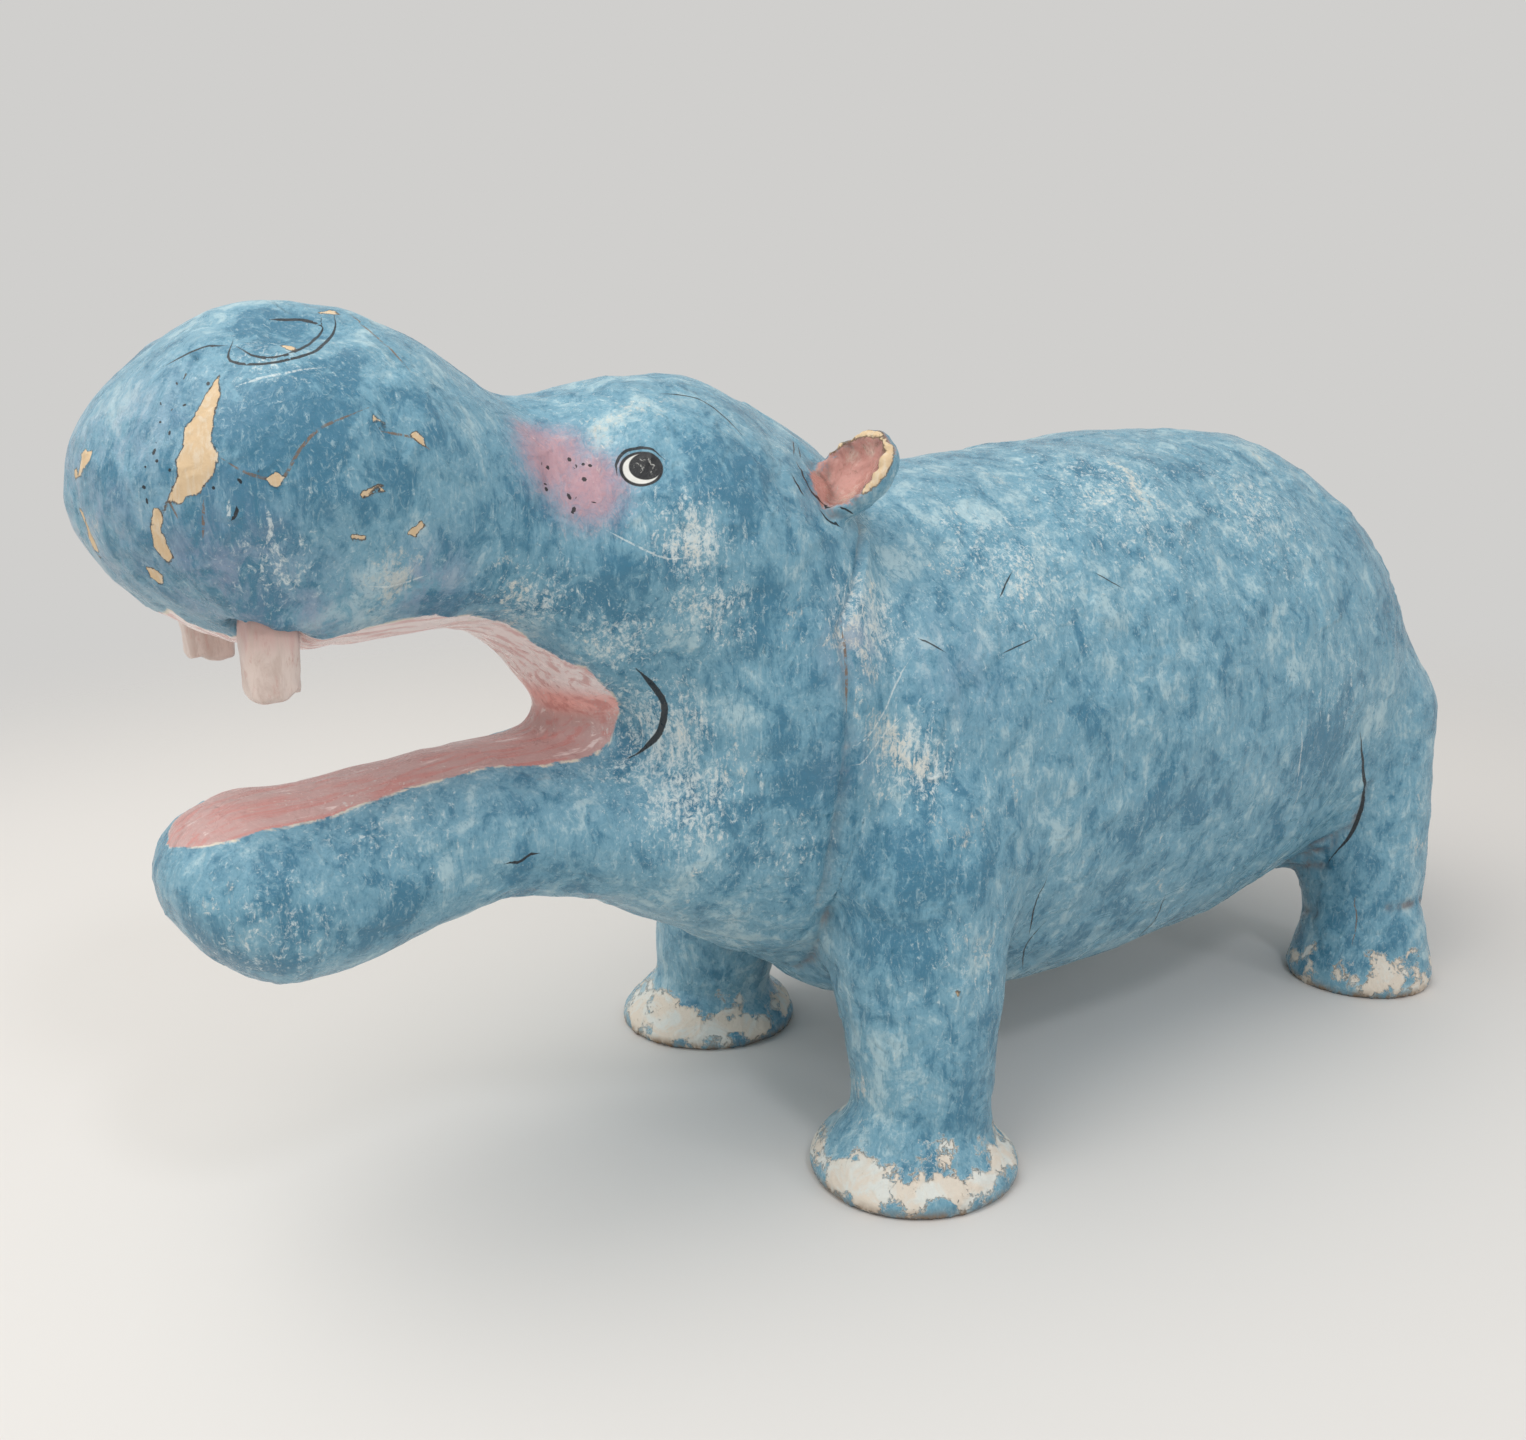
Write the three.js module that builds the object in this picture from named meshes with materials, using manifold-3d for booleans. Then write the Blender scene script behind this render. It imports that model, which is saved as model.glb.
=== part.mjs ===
// A papier-mache hippopotamus with its mouth wide open, standing on four flat feet.
// Millimetres, +Z up. The head points to -X, the animal's left side to -Y.
// One skin of pasted paper covers the whole animal, so it is one solid ("body");
// the two teeth are rolled-paper plugs set into sockets in the upper gum.
import * as THREE from "three";
import { mergeVertices } from "three/addons/utils/BufferGeometryUtils.js";
import Module from "manifold-3d";

// ---------- driving dimensions ----------
const TRACK = 152; // left foot centre to right foot centre
const FRONT_AXLE = -60; // x of the front feet
const REAR_AXLE = 214; // x of the rear feet
const ANKLE_R = 23.5;
// Bell feet, [radius, height] from under the sole up into the ankle.
const FRONT_BELL = [[36, -4], [37.3, 0.5], [37.6, 3.5], [35.5, 8], [30, 13.5], [25.5, 18.5], [20, 28]];
const REAR_BELL = [[30.5, -4], [31.8, 0.5], [32.2, 4], [31, 11], [28.8, 20], [27, 29], [22, 42]];
const BELL_SIDES = 24;
const LEG_FILLET = 13; // width of the pasted corner where a leg meets the trunk
const TOOTH = { x: -272, y: 31, width: 16, depth: 15, top: 230, bottom: 199, trim: 0.35 };
// Middle line of the tail and its radius, from the rump to the tip.
const TAIL = [
  [252, 6, 158, 14],
  [257, -28, 148, 12],
  [249, -56, 136, 10.5],
  [236, -75, 123, 9.5],
  [219, -87, 107, 6],
];
const EAR = { x: -86, y: 48, z: 247, width: 27, depth: 22, length: 26, wall: 4.4, grid: 3 };
const PLUG_GAP = 0.3; // clearance of a tooth in its socket
const GRID = 11.6; // size of the surface mesh

// Stations of each rounded form along x: [x, lowest z, highest z, half width].
// "cap" is how much of either end is drawn in to a dome.
const TORSO = {
  cap: [45, 96],
  bulge: 2.15,
  at: [
    [-106, 70, 232, 78],
    [-80, 54, 242, 83],
    [-50, 38, 246, 88],
    [0, 27, 249, 92],
    [60, 24, 253, 95],
    [130, 27, 254.5, 95],
    [190, 36, 245, 90],
    [235, 46, 224, 84],
    [278, 55, 210, 78],
  ],
};
const HEAD = {
  cap: [56, 24],
  bulge: 2.3,
  at: [
    [-152, 101, 272, 74],
    [-125, 85, 278, 75],
    [-100, 70, 273, 75],
    [-80, 58, 268, 71],
    [-60, 48, 254, 58],
    [-34, 54, 236, 36],
  ],
};
const BROW = { at: [-139, 0, 237], size: [50, 63, 47] };
const UPPER_JAW = {
  cap: [60, 0],
  bulge: 2.1,
  at: [
    [-312, 213, 296, 58],
    [-285, 210, 304, 58],
    [-257, 208, 308, 58],
    [-225, 208, 302, 55],
    [-200, 204, 287, 48],
    [-184, 193, 277, 46],
    [-168, 178, 273, 47],
    [-105, 172, 262, 44],
  ],
};
const LOWER_JAW = {
  cap: [33, 0],
  bulge: 2.3,
  at: [
    [-301, 119, 164, 35],
    [-282, 106, 163, 37],
    [-260, 101, 162, 37],
    [-230, 106, 164, 36],
    [-200, 113, 166, 38],
    [-170, 108, 166, 45],
    [-140, 94, 165, 54],
    [-105, 78, 164, 60],
  ],
};

// ---------- rounded forms as distance functions ----------
// Smooth value of column c of a station table at x.
function station(rows, c, x) {
  if (x <= rows[0][0]) return rows[0][c];
  const n = rows.length - 1;
  if (x >= rows[n][0]) return rows[n][c];
  let i = 0;
  while (x > rows[i + 1][0]) i++;
  const slope = (j) => {
    const a = rows[Math.max(j - 1, 0)];
    const b = rows[Math.min(j + 1, n)];
    return (b[c] - a[c]) / (b[0] - a[0]);
  };
  const span = rows[i + 1][0] - rows[i][0];
  const t = (x - rows[i][0]) / span;
  const s = 1 - t;
  return (
    rows[i][c] * (1 + 2 * t) * s * s +
    rows[i + 1][c] * (3 - 2 * t) * t * t +
    slope(i) * span * t * s * s -
    slope(i + 1) * span * t * t * s
  );
}

// Distance to a long rounded form whose oval section follows a station table.
function barrel({ at, cap, bulge }) {
  const x0 = at[0][0];
  const x1 = at[at.length - 1][0];
  return (x, y, z) => {
    const low = station(at, 1, x);
    const high = station(at, 2, x);
    const ry = station(at, 3, x);
    const rz = (high - low) / 2;
    const dz = z - (high + low) / 2;
    const front = Math.max((x0 + cap[0] - x) / cap[0], 0);
    const rear = cap[1] ? Math.max((x - x1 + cap[1]) / cap[1], 0) : 0;
    const inset = Math.max(front, rear);
    const ring = Math.hypot(y / ry, dz / rz);
    const k = (inset ** bulge + ring ** bulge) ** (1 / bulge);
    let d = -Math.min(ry, rz) * (1 - k);
    if (k > 0.3) {
      const gx = (inset / k) ** (bulge - 1) / cap[front > rear ? 0 : 1] || 0;
      const gr = ((ring / k) ** (bulge - 1) * Math.hypot(y / ry ** 2, dz / rz ** 2)) / ring || 0;
      d = (k - 1) / Math.hypot(gx, gr);
    }
    return cap[1] ? d : Math.max(d, x - x1);
  };
}

const oval = (c, r) => (x, y, z) => {
  const [dx, dy, dz] = [x - c[0], y - c[1], z - c[2]];
  const k0 = Math.hypot(dx / r[0], dy / r[1], dz / r[2]);
  const k1 = Math.hypot(dx / r[0] ** 2, dy / r[1] ** 2, dz / r[2] ** 2);
  return k1 > 1e-9 ? (k0 * (k0 - 1)) / k1 : -Math.min(...r);
};

// A round cone from ball (a, ra) to ball (b, rb).
const taper = (a, ra, b, rb) => {
  const ba = [b[0] - a[0], b[1] - a[1], b[2] - a[2]];
  const l2 = ba[0] ** 2 + ba[1] ** 2 + ba[2] ** 2;
  return (x, y, z) => {
    const pa = [x - a[0], y - a[1], z - a[2]];
    const t = Math.min(Math.max((pa[0] * ba[0] + pa[1] * ba[1] + pa[2] * ba[2]) / l2, 0), 1);
    const d = Math.hypot(pa[0] - ba[0] * t, pa[1] - ba[1] * t, pa[2] - ba[2] * t);
    return d - (ra + (rb - ra) * t);
  };
};

// Soft union: pasted paper bridges the corner over a width k.
const blend = (a, b, k) => {
  const h = Math.max(k - Math.abs(a - b), 0) / k;
  return Math.min(a, b) - (h * h * k) / 4;
};
const carve = (a, b, k) => -blend(-a, b, k);

const torso = barrel(TORSO);
const head = barrel(HEAD);
const brow = oval(BROW.at, BROW.size);
const upperJaw = barrel(UPPER_JAW);
const lowerJaw = barrel(LOWER_JAW);
const HALF = TRACK / 2;
const LEGS = [
  { x: FRONT_AXLE - 4, y: -HALF - 2, lead: 4, ankle: ANKLE_R, top: 38, topZ: 115, bell: FRONT_BELL },
  { x: FRONT_AXLE - 1, y: HALF - 8, lead: 1, ankle: ANKLE_R, top: 38, topZ: 115, bell: FRONT_BELL },
  { x: REAR_AXLE, y: -HALF, lead: 0, ankle: ANKLE_R + 2, top: 30, topZ: 125, bell: REAR_BELL },
  { x: REAR_AXLE, y: HALF, lead: 0, ankle: ANKLE_R + 2, top: 30, topZ: 125, bell: REAR_BELL },
];
const shafts = LEGS.map(({ x, y, ankle, top, topZ }) =>
  taper([x, y, 14], ankle, [x + 9, y - Math.sign(y) * 16, topZ], top),
);
const nostril = oval([-254, 28, 314], [24, 17, 18]);

// Slow unevenness of the hand-laid paper.
const lumps = (x, y, z) =>
  0.8 * Math.sin(x / 17 + 1.3) * Math.sin(y / 19 + z / 27) +
  0.7 * Math.sin(z / 14 - x / 31 + 2) * Math.sin(y / 16 - 0.7);

function headForm(x, y, z) {
  let d = blend(upperJaw(x, y, z), lowerJaw(x, y, z), 24);
  d = carve(d, nostril(x, Math.abs(y), z), 8);
  return blend(d, blend(head(x, y, z), brow(x, y, z), 24), 20) + lumps(x, y, z);
}

function trunkForm(x, y, z) {
  let d = torso(x, y, z);
  for (const shaft of shafts) d = blend(d, shaft(x, y, z), LEG_FILLET);
  return d + lumps(x, y, z);
}

// ---------- surface mesh ----------
// Grid lines from a to b whose spacing follows size(t).
function lines(a, b, size) {
  const out = [a];
  while (out[out.length - 1] < b) out.push(out[out.length - 1] + size(out[out.length - 1]));
  return out;
}

// One vertex per grid cell the surface crosses, then relaxed along the surface.
function skin(field, xs, ys, zs) {
  const [nx, ny, nz] = [xs.length, ys.length, zs.length];
  const value = new Float64Array(nx * ny * nz);
  const id = (i, j, k) => (i * ny + j) * nz + k;
  for (let i = 0; i < nx; i++)
    for (let j = 0; j < ny; j++)
      for (let k = 0; k < nz; k++) value[id(i, j, k)] = field(xs[i], ys[j], zs[k]);

  const points = [];
  const cell = new Map();
  const corner = (n) => [n & 1, (n >> 1) & 1, (n >> 2) & 1];
  for (let i = 0; i < nx - 1; i++)
    for (let j = 0; j < ny - 1; j++)
      for (let k = 0; k < nz - 1; k++) {
        let [sx, sy, sz, count] = [0, 0, 0, 0];
        for (let a = 0; a < 8; a++)
          for (const bit of [1, 2, 4]) {
            if (a & bit) continue;
            const [ca, cb] = [corner(a), corner(a | bit)];
            const va = value[id(i + ca[0], j + ca[1], k + ca[2])];
            const vb = value[id(i + cb[0], j + cb[1], k + cb[2])];
            if (va < 0 === vb < 0) continue;
            const t = va / (va - vb);
            sx += xs[i + ca[0]] * (1 - t) + xs[i + cb[0]] * t;
            sy += ys[j + ca[1]] * (1 - t) + ys[j + cb[1]] * t;
            sz += zs[k + ca[2]] * (1 - t) + zs[k + cb[2]] * t;
            count++;
          }
        if (!count) continue;
        cell.set(id(i, j, k), points.length);
        points.push([sx / count, sy / count, sz / count]);
      }

  const quads = [];
  const step = [ny * nz, nz, 1];
  for (let i = 1; i < nx - 1; i++)
    for (let j = 1; j < ny - 1; j++)
      for (let k = 1; k < nz - 1; k++) {
        const here = id(i, j, k);
        for (let axis = 0; axis < 3; axis++) {
          const [a, b] = [value[here] < 0, value[here + step[axis]] < 0];
          if (a === b) continue;
          const [u, v] = [step[(axis + 1) % 3], step[(axis + 2) % 3]];
          const ring = [here, here - u, here - u - v, here - v].map((c) => cell.get(c));
          quads.push(a ? ring : ring.reverse());
        }
      }

  const near = points.map(() => new Set());
  for (const q of quads)
    q.forEach((p, n) => {
      near[p].add(q[(n + 1) % 4]);
      near[p].add(q[(n + 3) % 4]);
    });
  const settle = (p) => {
    for (let n = 0; n < 3; n++) {
      const h = 0.4;
      const d = field(...p);
      const g = [0, 1, 2].map((c) => {
        const [a, b] = [[...p], [...p]];
        a[c] += h;
        b[c] -= h;
        return (field(...a) - field(...b)) / (2 * h);
      });
      const g2 = Math.max(g[0] ** 2 + g[1] ** 2 + g[2] ** 2, 0.2);
      const push = Math.max(-4, Math.min(4, d / g2));
      for (let c = 0; c < 3; c++) p[c] -= g[c] * push;
    }
    return p;
  };
  for (let pass = 0; pass < 8; pass++) {
    const moved = points.map((p, n) => {
      const mean = [0, 0, 0];
      for (const m of near[n]) for (let c = 0; c < 3; c++) mean[c] += points[m][c] / near[n].size;
      return settle(p.map((v, c) => v * 0.5 + mean[c] * 0.5));
    });
    moved.forEach((p, n) => (points[n] = p));
  }

  const gap = (a, b) =>
    Math.hypot(points[a][0] - points[b][0], points[a][1] - points[b][1], points[a][2] - points[b][2]);
  const index = [];
  for (const [a, b, c, d] of quads) {
    if (gap(a, c) <= gap(b, d)) index.push(a, b, c, a, c, d);
    else index.push(a, b, d, b, c, d);
  }
  const geometry = new THREE.BufferGeometry();
  geometry.setAttribute("position", new THREE.Float32BufferAttribute(points.flat(), 3));
  geometry.setIndex(index);
  return geometry;
}

const wasm = await Module();
wasm.setup();
const solid = (geometry) => {
  geometry.deleteAttribute("normal");
  geometry.deleteAttribute("uv");
  const merged = mergeVertices(geometry, 1e-4);
  const mesh = new wasm.Mesh({
    numProp: 3,
    vertProperties: new Float32Array(merged.getAttribute("position").array),
    triVerts: new Uint32Array(merged.index.array),
  });
  return new wasm.Manifold(mesh);
};
const toGeometry = (made) => {
  const m = made.getMesh();
  const out = new Float32Array(m.numVert * 3);
  for (let i = 0; i < m.numVert; i++)
    out.set(m.vertProperties.subarray(i * m.numProp, i * m.numProp + 3), i * 3);
  const g = new THREE.BufferGeometry();
  g.setAttribute("position", new THREE.BufferAttribute(out, 3));
  g.setIndex(new THREE.BufferAttribute(m.triVerts, 1));
  return g;
};

// The head and the trunk are formed apart and pasted together, so a clean fold runs round
// behind the head.
const across = lines(-12.5 * GRID, 12.5 * GRID, () => GRID);
const up = lines(-30, 326, () => GRID);
const headSkin = skin(headForm, lines(-331, -14, () => GRID), across, up);
const trunkSkin = skin(trunkForm, lines(-140, 300, (x) => (x < 0 || x > 170 ? GRID : GRID + 7)), across, up);
let body = solid(trunkSkin).add(solid(headSkin));

// A smaller form with a finer mesh of its own, pasted onto the body.
function paste(field, middle, reach, size) {
  const grid = middle.map((c, n) => lines(c - reach[n], c + reach[n], () => size));
  body = body.add(solid(skin(field, ...grid)));
}

// ---------- ears: small cups of folded paper, the hollow turned forward and out ----------
const unit = (v) => v.map((c) => c / Math.hypot(...v));
const cross = (a, b) => [
  a[1] * b[2] - a[2] * b[1],
  a[2] * b[0] - a[0] * b[2],
  a[0] * b[1] - a[1] * b[0],
];
for (const side of [-1, 1]) {
  const root = [EAR.x, side * EAR.y, EAR.z];
  const rise = unit([0.6, side * 0.42, 0.68]);
  const wide = unit(cross(rise, [-0.78, side * 0.28, 0.56]));
  const open = unit(cross(wide, rise));
  const size = [EAR.width / 2, EAR.depth / 2, EAR.length - 8];
  const shell = oval([0, 0, 8], size);
  const hollow = oval([0, 3, 9], size.map((r) => r - EAR.wall));
  const stem = taper([0, -2, -14], 10, [0, -2, 0], 8);
  const ear = (x, y, z) => {
    const p = [x - root[0], y - root[1], z - root[2]];
    const q = [wide, open, rise].map((a) => a[0] * p[0] + a[1] * p[1] + a[2] * p[2]);
    const cup = Math.max(shell(...q), q[1] - 4);
    return carve(blend(cup, stem(...q), 6), hollow(...q), 1.5);
  };
  paste(ear, root, [36, 36, 36], EAR.grid);
}

// ---------- tail: a tapering roll curled round the left haunch ----------
const links = TAIL.slice(1).map((to, n) => taper(TAIL[n], TAIL[n][3], to, to[3]));
const tail = (x, y, z) => links.map((f) => f(x, y, z)).reduce((a, b) => blend(a, b, 5));
paste(tail, [242, -38, 130], [50, 72, 56], 5.5);

// A closed solid over rings of n points each, listed from the bottom ring to the top one.
function closedRings(points, n) {
  const index = [];
  const last = points.length / 3 - n;
  for (let a = 0; a < last; a++) {
    const b = a % n === n - 1 ? a + 1 - n : a + 1;
    index.push(a, b, b + n, a, b + n, a + n);
  }
  for (let c = 1; c < n - 1; c++) index.push(0, c + 1, c, last, last + c, last + c + 1);
  const g = new THREE.BufferGeometry();
  g.setAttribute("position", new THREE.Float32BufferAttribute(points, 3));
  g.setIndex(index);
  return g;
}

// ---------- feet: turned bells, a little uneven, with flat soles ----------
function bell(x, y, rings) {
  const points = [];
  for (const [radius, z] of rings)
    for (let n = 0; n < BELL_SIDES; n++) {
      const a = (2 * Math.PI * n) / BELL_SIDES;
      const r = radius * (1 + 0.028 * Math.cos(2 * a + 1.24) + 0.01 * Math.sin(3 * a + y));
      points.push(x + r * Math.cos(a), y + r * Math.sin(a), z);
    }
  return closedRings(points, BELL_SIDES);
}
for (const { x, y, lead, bell: rings } of LEGS) body = body.add(solid(bell(x - lead, y, rings)));
const box = (x, y, z, w, d, h) => solid(new THREE.BoxGeometry(w, d, h).translate(x, y, z));
body = body.subtract(box(0, 0, -50, 900, 400, 100));

// ---------- teeth ----------
// A blunt peg, square with trimmed corners, narrowing a little to its worn end.
function peg(side, grow) {
  const { x, y, width, depth, top, bottom, trim } = TOOTH;
  const rings = [
    [bottom - grow, 0.86],
    [bottom + 3 - grow, 0.96],
    [top + grow, 1.04],
  ];
  const cut = 1 - trim;
  const corners = [[1, cut], [cut, 1], [-cut, 1], [-1, cut], [-1, -cut], [-cut, -1], [cut, -1], [1, -cut]];
  const points = [];
  for (const [z, k] of rings)
    for (const [cx, cy] of corners)
      points.push(x + cx * (width * 0.5 * k + grow), side * y + cy * (depth * 0.5 * k + grow), z);
  return closedRings(points, corners.length);
}
for (const side of [-1, 1]) body = body.subtract(solid(peg(side, PLUG_GAP)));

// ---------- the part ----------
const group = new THREE.Group();
const paint = new THREE.MeshStandardMaterial({ color: 0x5f97b3, roughness: 0.45 });
const ivory = new THREE.MeshStandardMaterial({ color: 0xd9b8ae, roughness: 0.5 });
const add = (name, geometry, material) => {
  const mesh = new THREE.Mesh(geometry, material);
  mesh.name = name;
  group.add(mesh);
};
add("body", toGeometry(body), paint);
add("tooth_left", peg(-1, 0), ivory);
add("tooth_right", peg(1, 0), ivory);

// The middle of the plan outline is the origin, the floor is z = 0.
const frame = new THREE.Box3().setFromObject(group).getCenter(new THREE.Vector3());
for (const mesh of group.children) mesh.geometry.translate(-frame.x, -frame.y, 0);
export default group;
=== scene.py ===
import bmesh
import bpy
import math
import numpy as np
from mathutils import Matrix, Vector, noise
from mathutils.bvhtree import BVHTree
from mathutils.kdtree import KDTree


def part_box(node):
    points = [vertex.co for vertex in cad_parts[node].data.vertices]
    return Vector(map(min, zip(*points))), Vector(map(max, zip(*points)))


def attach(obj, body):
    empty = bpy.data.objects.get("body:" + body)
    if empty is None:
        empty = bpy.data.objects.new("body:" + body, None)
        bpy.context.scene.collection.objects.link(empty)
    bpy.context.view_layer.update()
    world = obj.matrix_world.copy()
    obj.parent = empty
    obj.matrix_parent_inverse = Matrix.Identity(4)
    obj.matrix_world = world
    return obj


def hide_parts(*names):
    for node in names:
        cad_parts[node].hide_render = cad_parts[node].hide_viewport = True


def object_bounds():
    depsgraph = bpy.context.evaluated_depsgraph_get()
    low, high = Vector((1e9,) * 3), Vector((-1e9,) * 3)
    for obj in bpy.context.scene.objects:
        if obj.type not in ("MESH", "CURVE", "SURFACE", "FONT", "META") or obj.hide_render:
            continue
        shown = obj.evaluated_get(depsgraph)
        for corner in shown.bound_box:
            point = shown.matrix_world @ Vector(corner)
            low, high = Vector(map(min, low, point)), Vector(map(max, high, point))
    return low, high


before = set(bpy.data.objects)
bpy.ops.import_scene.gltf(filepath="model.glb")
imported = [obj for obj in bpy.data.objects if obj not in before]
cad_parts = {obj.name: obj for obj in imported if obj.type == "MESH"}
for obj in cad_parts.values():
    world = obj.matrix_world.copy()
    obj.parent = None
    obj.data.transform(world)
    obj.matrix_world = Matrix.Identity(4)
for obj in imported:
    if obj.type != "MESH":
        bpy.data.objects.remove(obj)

cad_low, cad_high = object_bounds()
middle = (cad_low + cad_high) / 2


# ---------- Camera ----------
# A moderately wide lens, level with the top of the animal's head and turned to its
# left cheek, so that the open mouth and the whole left side show.
CAMERA_TURN = math.radians(35.53)
CAMERA_DIP = math.radians(15.53)
CAMERA_REACH = 0.577
CAMERA_AIM = middle + Vector((-0.0532, 0.0178, -0.0033))
ahead = Vector((
    math.sin(CAMERA_TURN) * math.cos(CAMERA_DIP),
    math.cos(CAMERA_TURN) * math.cos(CAMERA_DIP),
    -math.sin(CAMERA_DIP),
))
camera = bpy.data.objects.new("camera", bpy.data.cameras.new("camera"))
camera.data.sensor_width = 36
camera.data.lens = 34.8
camera.location = CAMERA_AIM - ahead * CAMERA_REACH
camera.rotation_euler = ahead.to_track_quat("-Z", "Y").to_euler()
bpy.context.scene.collection.objects.link(camera)
bpy.context.scene.camera = camera
bpy.context.scene.view_settings.view_transform = "Standard"


# ---------- Studio floor ----------
# A round sheet of pale matt background paper. It thins out towards its edge into
# air of nearly the same tone, so no line shows where the floor ends.
def linear(sheet):
    """An sRGB hex colour as linear RGBA."""
    parts = [int(sheet[n:n + 2], 16) / 255 for n in (1, 3, 5)]
    return [((c + 0.055) / 1.055) ** 2.4 if c > 0.04045 else c / 12.92 for c in parts] + [1]


def node(tree, kind, feeds=None, **settings):
    """Adds a node, with its settings, and its inputs fed by values or by other outputs."""
    made = tree.nodes.new(kind)
    for name, value in settings.items():
        setattr(made, name, value)
    for name, value in (feeds or {}).items():
        if isinstance(value, bpy.types.NodeSocket):
            tree.links.new(value, made.inputs[name])
        else:
            made.inputs[name].default_value = value
    return made


def finish_material(name):
    """An empty node material, with its tree and its shader."""
    material = bpy.data.materials.new(name)
    material.use_nodes = True
    tree = material.node_tree
    tree.nodes.clear()
    shader = node(tree, "ShaderNodeBsdfPrincipled")
    node(tree, "ShaderNodeOutputMaterial", {"Surface": shader.outputs[0]})
    return material, tree, shader


FLOOR_REACH = 1.4
FLOOR_FULL = 0.42
FLOOR_GONE = 1.15
build = bmesh.new()
bmesh.ops.create_circle(build, cap_ends=True, segments=64, radius=FLOOR_REACH)
floor_mesh = bpy.data.meshes.new("floor")
build.to_mesh(floor_mesh)
build.free()
floor = bpy.data.objects.new("floor", floor_mesh)
bpy.context.scene.collection.objects.link(floor)
matt_paper, tree, shader = finish_material("matt_background_paper")
shader.inputs["Base Color"].default_value = linear("#e0ddda")
shader.inputs["Roughness"].default_value = 0.9
shader.inputs["Specular IOR Level"].default_value = 0.2
place = node(tree, "ShaderNodeTexCoord").outputs["Object"]
reach = node(tree, "ShaderNodeVectorMath", {0: place}, operation="LENGTH").outputs["Value"]
cover = node(tree, "ShaderNodeMapRange", {
    "Value": reach, "From Min": FLOOR_FULL, "From Max": FLOOR_GONE, "To Min": 1, "To Max": 0,
}, interpolation_type="SMOOTHERSTEP")
tree.links.new(cover.outputs[0], shader.inputs["Alpha"])
floor_mesh.materials.append(matt_paper)

# Soft light: an even pale dome, a broad panel high in front of the animal, and two small
# ones behind the camera that the varnish catches.
dome = bpy.data.worlds.new("studio_air")
dome.use_nodes = True
dome.node_tree.nodes["Background"].inputs["Color"].default_value = linear("#d0cfcd")
dome.node_tree.nodes["Background"].inputs["Strength"].default_value = 1.0
bpy.context.scene.world = dome
for name, spot, size, power, tint in (
    ("panel_above", (-0.75, 0.1, 1.3), 1.3, 12.0, "#fffdf8"),
    ("panel_front", (-0.25, -0.95, 1.25), 0.22, 2.6, "#f6f9ff"),
    ("panel_side", (0.5, -1.1, 0.9), 0.2, 1.0, "#f6f9ff"),
):
    lamp = bpy.data.objects.new(name, bpy.data.lights.new(name, "AREA"))
    lamp.data.shape = "DISK"
    lamp.data.size = size
    lamp.data.energy = power
    lamp.data.color = linear(tint)[:3]
    lamp.location = spot
    lamp.rotation_euler = (middle - Vector(spot)).to_track_quat("-Z", "Y").to_euler()
    bpy.context.scene.collection.objects.link(lamp)


# ---------- The skin of pasted paper: its form ----------
# Torn newsprint pasted over and over into one closed skin, from snout to tail. It takes
# the solid's own form, drawn out finer, with the lumps, laps and creases of the paper.
MM = 0.001
SKIN_VOXEL = 1.5 * MM
SKIN_FACES = 196000
SWELL = {"size": 55 * MM, "height": 1.3 * MM}
LUMP = {"size": 22 * MM, "height": 1.0 * MM}
LAP = {"size": 30 * MM, "height": 0.7 * MM}
CREASE = {"size": 12 * MM, "height": 0.8 * MM}
FOLD_GROOVE = {"width": 1.7 * MM, "depth": 1.2 * MM}
NECK = {
    "x": -82 * MM, "low": 112 * MM, "high": 206 * MM, "lean": 0.9,
    "fill": 1.6 * MM, "fill_wide": 5 * MM, "step": 2.2 * MM, "step_wide": 15 * MM,
    "top": 240 * MM, "inner": 30 * MM, "outer": 44 * MM, "near": 50 * MM,
}
# Where the gum is felt for round each tooth, and how the plug in its socket fits it.
SOCKET = {
    "probes": 16, "out": 12 * MM, "below": 20 * MM, "reach": 60 * MM,
    "wider": 5 * MM, "sunk": 1.2 * MM, "above": 1.5 * MM,
}
FOLD_ANGLE = math.radians(24)
MOUTH_BACK = -118 * MM
LIP_ROLL = {"x": -255 * MM, "out": 41 * MM, "long": 24 * MM, "wide": 9 * MM, "drop": 6 * MM}
SPINE_Y = sum(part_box(side)[corner].y for side in ("tooth_left", "tooth_right") for corner in (0, 1)) / 4


def refined(source_mesh, name, voxel, plugs=()):
    """A copy of a CAD mesh as an even mesh of fine faces, with closed plugs added to it."""
    build = bmesh.new()
    build.from_mesh(source_mesh)
    bmesh.ops.remove_doubles(build, verts=build.verts, dist=1e-6)
    for corners in plugs:
        made = bmesh.ops.create_cube(build, size=1)["verts"]
        for vertex, corner in zip(made, corners):
            vertex.co = corner
    mesh = bpy.data.meshes.new(name)
    build.to_mesh(mesh)
    build.free()
    piece = bpy.data.objects.new(name, mesh)
    bpy.context.scene.collection.objects.link(piece)
    rounded = piece.modifiers.new("rounded", "SUBSURF")
    rounded.levels = rounded.render_levels = 1
    even = piece.modifiers.new("even", "REMESH")
    even.mode = "VOXEL"
    even.voxel_size = voxel
    relaxed = piece.modifiers.new("relaxed", "SMOOTH")
    relaxed.factor = 0.5
    relaxed.iterations = 3
    settle(piece)
    return piece


def settle(piece):
    """Turns a piece's modifiers into its mesh."""
    made = bpy.data.meshes.new_from_object(piece.evaluated_get(bpy.context.evaluated_depsgraph_get()))
    piece.modifiers.clear()
    piece.data = made


def points_of(mesh):
    """All vertices of a mesh as an array."""
    flat = np.empty(len(mesh.vertices) * 3, np.float32)
    mesh.vertices.foreach_get("co", flat)
    return flat.reshape(-1, 3).astype(float)


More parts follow.
